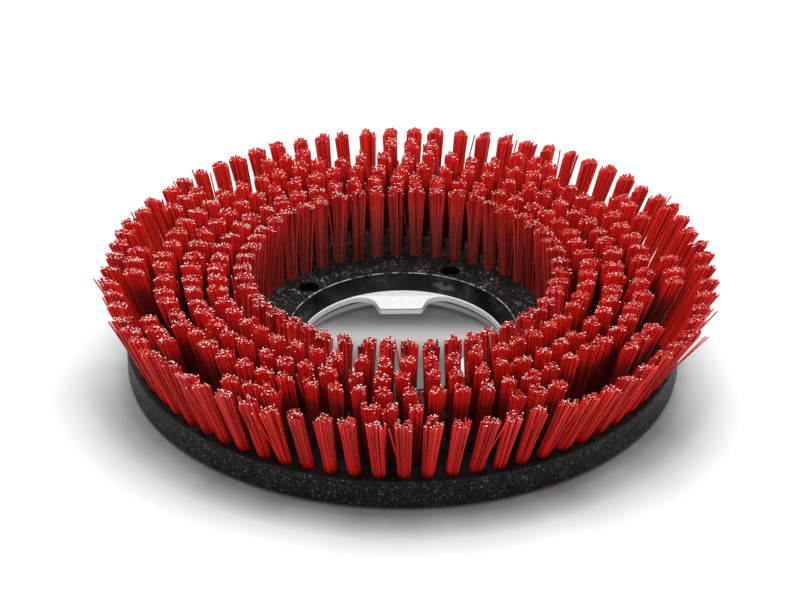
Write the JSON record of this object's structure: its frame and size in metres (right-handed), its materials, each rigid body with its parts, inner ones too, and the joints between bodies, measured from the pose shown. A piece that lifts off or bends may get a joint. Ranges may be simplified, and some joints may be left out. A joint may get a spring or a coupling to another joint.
{
  "type": "disc scrubbing brush",
  "caption": "Round scrubbing brush for a rotary floor machine: black disc block with concentric rows of red bristle tufts leaning outward and a lugged metal clutch plate round its centre hole.",
  "frame": {"origin": "on the spin axis, in the plane of the drive face that the brush lies on", "axes": "+Z along the spin axis from the drive face to the bristle tips; -Y towards the viewer of the picture"},
  "size_m": [0.423, 0.423, 0.0735],
  "materials": {
    "block": "black moulded plastic with a fine grain",
    "plate": "bright satin die-cast metal",
    "screw": "black oxide",
    "washer": "dark zinc",
    "bristle": "red filament with a soft sheen"
  },
  "bodies": {
    "root": {"brush_block": "block", "clutch_plate": "plate", "clutch_screw_1": "screw", "clutch_screw_2": "screw", "clutch_screw_3": "screw", "clutch_screw_4": "screw", "clutch_screw_5": "screw", "screw_washer_1": "washer", "screw_washer_2": "washer", "screw_washer_3": "washer", "screw_washer_4": "washer", "screw_washer_5": "washer", "bristle_sector_1": "bristle", "bristle_sector_2": "bristle", "bristle_sector_3": "bristle", "bristle_sector_4": "bristle", "bristle_sector_5": "bristle", "bristle_sector_6": "bristle", "bristle_sector_7": "bristle", "bristle_sector_8": "bristle", "bristle_sector_9": "bristle", "bristle_sector_10": "bristle", "bristle_sector_11": "bristle", "bristle_sector_12": "bristle"}
  },
  "joints": []
}
